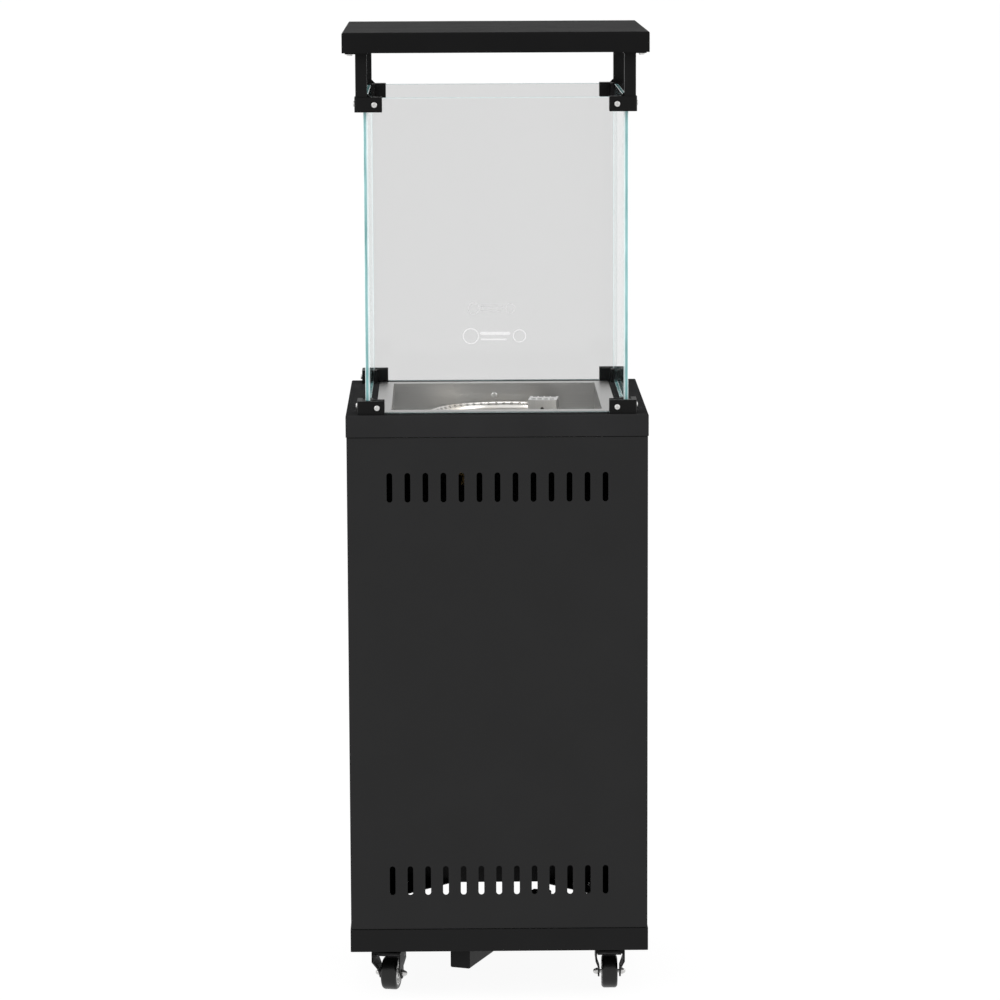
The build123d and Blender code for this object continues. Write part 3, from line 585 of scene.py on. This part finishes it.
# %% [markdown]
# ## Glass panes
# Each pane is cut, its edges are ground round, and its corners are dubbed so that they don't chip. A box of
# the pane's size is bevelled twice: at its four corners, and along all its edges for the ground arris.

# %% Glass panes
pane_corner = 0.0015
pane_arris = 0.0008


def glass_pane(face, thin, finish_of_face):
    """A pane whose thin direction is X (0) or Y (1)."""
    low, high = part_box("glass_" + face)
    pane = brick("pane_" + face, low, high)
    edit(pane)
    bpy.ops.mesh.select_mode(type="EDGE")
    bpy.ops.mesh.select_all(action="DESELECT")
    mesh = bmesh.from_edit_mesh(pane.data)
    for edge in mesh.edges:
        along = edge.verts[0].co - edge.verts[1].co
        edge.select_set(abs(along[thin]) > 0.9 * along.length)
    bmesh.update_edit_mesh(pane.data)
    bpy.ops.mesh.bevel(offset=pane_corner, segments=3, affect="EDGES")
    done()
    round_edges(pane, pane_arris, 2, 60)
    mount(pane, "cabinet", "glass", finish_of_face, "glass_" + face)
    for material in (glass_edge, glass_edge_faint, glass_arris_painted_highlight):
        pane.data.materials.append(material)
    for polygon in pane.data.polygons:
        flat = max(abs(value) for value in polygon.normal) > 0.99
        if abs(polygon.normal[thin]) > 0.99:
            polygon.material_index = 0
        elif flat:
            polygon.material_index = 2 if polygon.normal.y > 0.9 else 1
        else:
            # Arris faces that look forward or to the sides get the painted highlight, and those that look back get
            # the faint edge.
            polygon.material_index = 3 if polygon.normal.y < 0.2 else 2
    return pane


glass_pane("front", 1, glass_clear)
glass_pane("rear", 1, glass_tinted)
glass_pane("left", 0, glass_clear)
glass_pane("right", 0, glass_clear)

# %% [markdown]
# ## Screws
# The screws are the brightest points of the heater: zinc pan heads with a cross recess. One is modelled from
# a drum: its rim is bevelled to a dome, its underside is inset and drawn out to a shank, and two crossed
# wedges are cut from its face. It is then copied to each place, turned to face outwards.

# %% A pan head screw
def cross_recess(radius, depth, top):
    """Two crossed blades, to be cut from a screw's face."""
    blades = []
    for wide, narrow in ((0.52, 0.13), (0.13, 0.52)):
        low = (-radius * wide, -radius * narrow, top - depth)
        blades.append(brick("blade", low, (radius * wide, radius * narrow, top + depth)))
    modify(blades[0], "BOOLEAN", operation="UNION", object=blades[1], solver="EXACT")
    bpy.data.objects.remove(blades[1])
    return blades[0]


def pan_screw(name, radius, height, shank_radius, shank_length):
    """A screw whose head stands on the XY plane and faces +Z."""
    screw = drum(name, radius, height, 32)
    screw.data.transform(Matrix.Translation((0, 0, height / 2)))
    edit(screw)
    pick(screw, lambda centre, normal: normal.z > 0.9)
    bpy.ops.mesh.bevel(offset=height * 0.62, segments=5, affect="EDGES")
    pick(screw, lambda centre, normal: normal.z < -0.9)
    bpy.ops.mesh.inset(thickness=radius - shank_radius)
    bpy.ops.mesh.extrude_region_shrink_fatten(TRANSFORM_OT_shrink_fatten={"value": shank_length})
    done()
    recess = cross_recess(radius, height * 0.55, height)
    modify(screw, "BOOLEAN", operation="DIFFERENCE", object=recess, solver="EXACT")
    bpy.data.objects.remove(recess)
    smooth(screw, 40)
    return screw


def facing(place, direction):
    """The move that stands a screw at a place, facing a direction."""
    turn = Vector((0, 0, 1)).rotation_difference(Vector(direction)).to_matrix().to_4x4()
    return Matrix.Translation(place) @ turn


def screw_set(name, pattern, stands, body, slot, material, *nodes):
    """Copies of one screw at several places, joined as one piece."""
    copies = [moved_copy(pattern, name, facing(place, direction)) for place, direction in stands]
    bpy.data.objects.remove(pattern)
    return mount(joined(copies, name), body, slot, material, *nodes)


# %% [markdown]
# ## Clamp screws
# Each corner clamp is held by two screws, one in each of its outer faces, halfway up.

# %% Clamp screws
clamp_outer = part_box("lower_clamps")[1].x
screw_from_corner = 0.026
screw_along = clamp_outer - screw_from_corner
signs = ((-1, -1), (1, -1), (-1, 1), (1, 1))
stands = []
for node in ("lower_clamps", "upper_clamps"):
    clamp_low, clamp_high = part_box(node)
    z = (clamp_low.z + clamp_high.z) / 2
    for x, y in signs:
        stands.append(((x * screw_along, y * clamp_outer, z), (0, y, 0)))
        stands.append(((x * clamp_outer, y * screw_along, z), (x, 0, 0)))
pattern = pan_screw("clamp_screw", 0.0038, 0.0022, 0.002, 0.007)
screw_set("clamp_screw_set", pattern, stands, "cabinet", "zinc_steel", steel_zinc, "clamp_screws")

# %% [markdown]
# ## Hood and tray screws
# One screw looks down from under each corner of the hood, and three screws sit in the walls of the tray.

# %% Hood and tray screws
hood_screw_x = 0.190
hood_screw_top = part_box("hood_posts")[1].z - 0.0015
stands = [((x * hood_screw_x, y * hood_screw_x, hood_screw_top), (0, 0, -1)) for x, y in signs]
pattern = pan_screw("hood_screw", 0.0038, 0.0022, 0.002, 0.010)
screw_set("hood_screw_set", pattern, stands, "cabinet", "zinc_steel", steel_zinc, "hood_screws")

tray_low, tray_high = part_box("burner_tray")
well_half = 0.140
rim_z = tray_high.z - 0.001
back_screw_drop = 0.016
side_screw_drop = 0.010
side_screw_y = -0.120
stands = [((0, well_half, rim_z - back_screw_drop), (0, -1, 0))]
for x in (-1, 1):
    stands.append(((x * well_half, side_screw_y, rim_z - side_screw_drop), (-x, 0, 0)))
pattern = pan_screw("tray_screw", 0.0044, 0.0026, 0.002, 0.006)
screw_set("tray_screw_set", pattern, stands, "cabinet", "zinc_steel", steel_zinc, "tray_screws")

# %% [markdown]
# ## Castor wheels
# A castor wheel is a soft black tread moulded on to a pale hub. The tread is a drum with well rounded
# shoulders and a hole through it. The hub has a rim, a dished web with five ribs, and a boss for the axle.
# Both are modelled once about the axle, then copied to each castor and turned as its fork is turned.

# %% A wheel
wheel_radius = 0.0225
wheel_width = 0.0217
hub_radius = 0.016
axle_radius = 0.0026
wheel_low, wheel_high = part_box("castor_wheel_front_right")
print("wheel width", round(wheel_high.x - wheel_low.x, 4), "height", round(wheel_high.z - wheel_low.z, 4))


def is_end(centre, normal):
    return abs(normal.z) > 0.9


def is_end_middle(centre, normal):
    return is_end(centre, normal) and centre.xy.length < 0.0005


def bored(piece, radius):
    """Cuts a round hole through a piece, along Z."""
    cutter = drum("cutter", radius, 0.1, 32)
    modify(piece, "BOOLEAN", operation="DIFFERENCE", object=cutter, solver="EXACT")
    bpy.data.objects.remove(cutter)


def wheel_tread():
    tread = drum("tread", wheel_radius, wheel_width, 72)
    edit(tread)
    pick(tread, is_end)
    bpy.ops.mesh.bevel(offset=0.0042, segments=6, affect="EDGES")
    pick(tread, is_end)
    bpy.ops.mesh.inset(thickness=0.0008)
    bpy.ops.mesh.extrude_region_shrink_fatten(TRANSFORM_OT_shrink_fatten={"value": -0.0004})
    done()
    bored(tread, hub_radius)
    smooth(tread, 30)
    return tread


def wheel_hub():
    hub = drum("hub", hub_radius, wheel_width - 0.0012, 72)
    edit(hub)
    for inset, rise in ((0.0018, -0.0042), (0.0075, 0.0044), (0.0018, -0.0010)):
        pick(hub, is_end_middle)
        bpy.ops.mesh.inset(thickness=inset)
        bpy.ops.mesh.extrude_region_shrink_fatten(TRANSFORM_OT_shrink_fatten={"value": rise})
    done()
    round_edges(hub, 0.0003, 2)
    ribs = []
    for index in range(5):
        rib = brick("rib", (0.0058, -0.0009, 0.0062), (0.0146, 0.0009, 0.0086))
        round_edges(rib, 0.0003, 2)
        for side in (0, pi):
            turn = Matrix.Rotation(index * 2 * pi / 5, 4, "Z") @ Matrix.Rotation(side, 4, "X")
            ribs.append(moved_copy(rib, "rib", turn))
        bpy.data.objects.remove(rib)
    hub = joined([hub, *ribs], "hub")
    bored(hub, axle_radius)
    return hub


tread = wheel_tread()
hub = wheel_hub()
for joint in frame["joints"]:
    if not joint["name"].startswith("roll_"):
        continue
    corner = joint["name"][len("roll_"):]
    axle = Vector(joint["axis"])
    stand = facing(joint["pos_m"], axle)
    body = joint["child"]
    mount(moved_copy(tread, "tread_" + corner, stand), body, "tyre", rubber_tyre, "castor_wheel_" + corner)
    mount(moved_copy(hub, "hub_" + corner, stand), body, "tyre", plastic_hub, "castor_wheel_" + corner)
    print("wheel", corner, "faces", [round(value, 3) for value in axle])
bpy.data.objects.remove(tread)
bpy.data.objects.remove(hub)

# %% [markdown]
# ## Castor crowns
# Between a castor's top plate and its fork sits a bright pressed ring that holds the balls. It is a flat drum
# whose rim is rounded and whose middle is cut away to clear the raceway.

# %% Castor crowns
crown_radius = 0.0152
race_clearance = 0.0132
fork_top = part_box("castor_fork_front_right")[1].z
plate_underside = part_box("castor_plates")[1].z - 0.002
crown_depth = (plate_underside - fork_top) * 0.30
crown = drum("crown", crown_radius, crown_depth, 56)
bored(crown, race_clearance)
round_edges(crown, 0.0005, 3)
crown_z = (plate_underside + fork_top) / 2
for joint in frame["joints"]:
    if joint["name"].startswith("swivel_"):
        x, y, _ = joint["pos_m"]
        name = joint["name"].replace("swivel", "crown")
        ring = moved_copy(crown, name, Matrix.Translation((x, y, crown_z)))
        mount(ring, "cabinet", "zinc_steel", steel_zinc)
bpy.data.objects.remove(crown)

# %% [markdown]
# ## Flame ports
# The flames come out of small holes along the burner tube. Each hole is drawn inwards and dark with shade inside,
# so that shade is painted as a shallow near-black cup, set into the tube and leaning towards the middle of the
# ring.

# %% Flame ports
ring_low, ring_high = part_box("burner_ring")
tube_radius = 0.009
ring_radius = (ring_high.y - ring_low.y) / 2 - tube_radius
ring_middle = Vector((ring_low.x + tube_radius + ring_radius, 0, ring_high.z - tube_radius))
port_lean = radians(38)
port_start = radians(66)
port_sweep = radians(270)
port_count = 44


def painted_hole_shade_finish():
    finish = Finish("painted_hole_shade_finish", Specular_IOR_Level=0.1)
    cloud = finish.noise(finish.place(), 260, 3.0)
    # The near-black colour is painted shade: it stands for the dark inside each hole.
    finish.feed("Base Color", finish.blend(cloud, (0.004, 0.004, 0.004), (0.020, 0.018, 0.016)))
    finish.feed("Roughness", between(cloud, 0.8, 0.95))
    return finish.material


def cup(name, radius, depth, sides=14):
    """A shallow cup about the origin, open towards +Z."""
    made = drum(name, radius, depth, sides)
    edit(made)
    pick(made, lambda centre, normal: normal.z > 0.9)
    bpy.ops.mesh.inset(thickness=radius * 0.2)
    bpy.ops.mesh.extrude_region_shrink_fatten(TRANSFORM_OT_shrink_fatten={"value": -depth * 0.5})
    done()
    return made


port = cup("port", 0.0019, 0.0012)
ports = []
for index in range(port_count):
    angle = port_start + port_sweep * index / (port_count - 1)
    inwards = Vector((-cos(angle), -sin(angle), 0))
    lean = inwards * sin(port_lean) + Vector((0, 0, cos(port_lean)))
    centre = ring_middle - inwards * ring_radius + lean * (tube_radius - 0.0004)
    ports.append(moved_copy(port, "port", facing(centre, lean)))
bpy.data.objects.remove(port)
# Painted shade for the holes, shared by the flame ports and the shield vents.
painted_hole_shade = painted_hole_shade_finish()
mount(joined(ports, "flame_ports"), "cabinet", "stainless", painted_hole_shade)
print(port_count, "flame ports")

# %% [markdown]
# ## Shield vents
# The shield over the pilot has two rows of vents in its top and one hole in its front, all dark with shade
# inside. The same cup of painted shade serves again, wide enough to line each of them.

# %% Shield vents
shield_turn = Matrix.Rotation(radians(-6), 4, "Z")
shield_place = Matrix.Translation((0.066, 0.028, rim_z - 0.006)) @ shield_turn
shield_depth = 0.041
vent_pitch = 0.0084
vent_rows = (-shield_depth / 4, shield_depth / 2 - 0.0034)
vent_sink = 0.0006
front_vent_drop = 0.012
front_vent_scale = 0.75
vent = cup("vent", 0.0031, 0.0016, 24)
vents = []
for index in range(4):
    x = (index - 1.5) * vent_pitch
    for y in vent_rows:
        vents.append(moved_copy(vent, "vent", shield_place @ Matrix.Translation((x, y, -vent_sink))))
front_vent = facing((0, -shield_depth / 2 + vent_sink, -front_vent_drop), (0, -1, 0))
front_vent = front_vent @ Matrix.Scale(front_vent_scale, 4)
vents.append(moved_copy(vent, "vent", shield_place @ front_vent))
bpy.data.objects.remove(vent)
mount(joined(vents, "shield_vents"), "cabinet", "stainless", painted_hole_shade)

# %% [markdown]
# ## Screws of the back
# The back frame is screwed to the side panels, and each hinge leaf has two screws. They are the same pan head
# screw, coated black on the frame and left bright on the hinges.

# %% Screws of the back
frame_low, frame_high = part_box("rear_frame")
back_face = frame_high.y
frame_screw_x = 0.1935
frame_leaf_x = -0.186
door_leaf_x = -0.154
leaf_screw_step = 0.014
stands = []
for share in (0.07, 0.30, 0.52, 0.76, 0.95):
    z = frame_low.z + share * (frame_high.z - frame_low.z)
    stands += [((side * frame_screw_x, back_face, z), (0, 1, 0)) for side in (-1, 1)]
pattern = pan_screw("frame_screw", 0.0034, 0.0018, 0.0016, 0.004)
screw_set("frame_screw_set", pattern, stands, "cabinet", "black_steel", coat_fittings)

leaf_low, leaf_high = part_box("frame_hinges")
leaf_face = back_face + 0.0012
hinge_heights = (leaf_low.z + 0.024, leaf_high.z - 0.0255)
leaves = (("frame_hinge_screws", "cabinet", frame_leaf_x), ("door_hinge_screws", "door", door_leaf_x))
for name, body, x in leaves:
    heights = [z + side * leaf_screw_step for z in hinge_heights for side in (-1, 1)]
    stands = [((x, leaf_face, z), (0, 1, 0)) for z in heights]
    pattern = pan_screw("hinge_screw", 0.0028, 0.0014, 0.0014, 0.003)
    screw_set(name, pattern, stands, body, "zinc_steel", steel_zinc)

# %% [markdown]
# ## Marks of the controls
# The fascia has a printed scale round the knob: short ticks that grow from low to high, with no letters. The
# knob has a pale line let into its grip. Both are thin raised prints with rounded ends.

# %% Marks of the controls
knob_low, knob_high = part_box("control_knob")
knob_middle = (knob_low + knob_high) / 2
fascia_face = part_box("igniter_body")[1].y - 0.0025
print_depth = 0.0002


def print_bar(name, wide, tall, face):
    """A raised bar of print on a face that looks along +Y, with its middle on the Y axis."""
    bar = brick(name, (-wide / 2, face, -tall / 2), (wide / 2, face + print_depth, tall / 2))
    edit(bar)
    bpy.ops.mesh.select_mode(type="EDGE")
    bpy.ops.mesh.select_all(action="DESELECT")
    mesh = bmesh.from_edit_mesh(bar.data)
    for edge in mesh.edges:
        edge.select_set(abs(edge.verts[0].co.y - edge.verts[1].co.y) > print_depth / 2)
    bmesh.update_edit_mesh(bar.data)
    bpy.ops.mesh.bevel(offset=min(wide, tall) * 0.45, segments=4, affect="EDGES")
    done()
    return bar


tick_count = 9
dial_sweep = radians(240)
dial_radius = 0.0255
ticks = []
for index in range(tick_count):
    angle = dial_sweep * index / (tick_count - 1)
    tick = print_bar("tick", 0.0010 + 0.00012 * index, 0.0030 + 0.00035 * index, fascia_face)
    turn = Matrix.Rotation(-angle, 4, "Y")
    outwards = Matrix.Translation((0, 0, dial_radius))
    tick.data.transform(Matrix.Translation((knob_middle.x, 0, knob_middle.z)) @ turn @ outwards)
    ticks.append(tick)
mount(joined(ticks, "dial_scale"), "cabinet", "black_steel", paint_mark)

pointer = print_bar("knob_pointer", 0.0014, 0.012, knob_high.y)
pointer.data.transform(Matrix.Translation((knob_middle.x, 0, knob_middle.z + 0.0105)))
mount(pointer, "knob", "black_plastic", paint_mark)

# %% [markdown]
# ## Marks on the glass
# Toughened panes carry a small frosted print near their foot. Here it is a plain ring with two bars and a
# second ring, without letters or symbols.

# %% Marks on the glass
def frosted_print(name, veil):
    finish = Finish(name, Specular_IOR_Level=0.2)
    grain = finish.noise(finish.place(), 900, 2.0)
    finish.feed("Base Color", finish.blend(grain, (0.80, 0.80, 0.80), (0.96, 0.96, 0.96)))
    finish.feed("Roughness", between(grain, 0.6, 0.8))
    finish.feed("Alpha", between(grain, veil * 0.8, veil))
    return finish.material


def print_ring(name, radius, width, face):
    """A raised ring of print on a face that looks along -Y."""
    ring = drum(name, radius, print_depth, 40)
    bored(ring, radius - width)
    ring.data.transform(Matrix.Translation((0, face, 0)) @ Matrix.Rotation(pi / 2, 4, "X"))
    return ring


mark_height = 0.102


def glass_mark(face, scale, veil):
    """A generic print: ring, two bars, ring. It stands a hair in front of the pane."""
    pane_low, pane_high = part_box("glass_" + face)
    y = pane_low.y - print_depth
    z = pane_low.z + mark_height
    left = print_ring("mark", 0.0105 * scale, 0.0011, y)
    left.data.transform(Matrix.Translation((-0.030 * scale, 0, 0)))
    right = print_ring("mark", 0.0085 * scale, 0.0009, y)
    right.data.transform(Matrix.Translation((0.034 * scale, 0, 0)))
    long_bar = print_bar("mark", 0.040 * scale, 0.0042 * scale, y)
    long_bar.data.transform(Matrix.Translation((0.002, 0, 0.0035 * scale)))
    short_bar = print_bar("mark", 0.034 * scale, 0.0022 * scale, y)
    short_bar.data.transform(Matrix.Translation((0, 0, -0.0045 * scale)))
    mark = joined([left, right, long_bar, short_bar], "mark_" + face)
    mark.data.transform(Matrix.Translation((-0.004, 0, z)))
    return mount(mark, "cabinet", "glass", frosted_print("frosted_" + face, veil))


glass_mark("front", 1.0, 0.55)
glass_mark("rear", 0.8, 0.40)
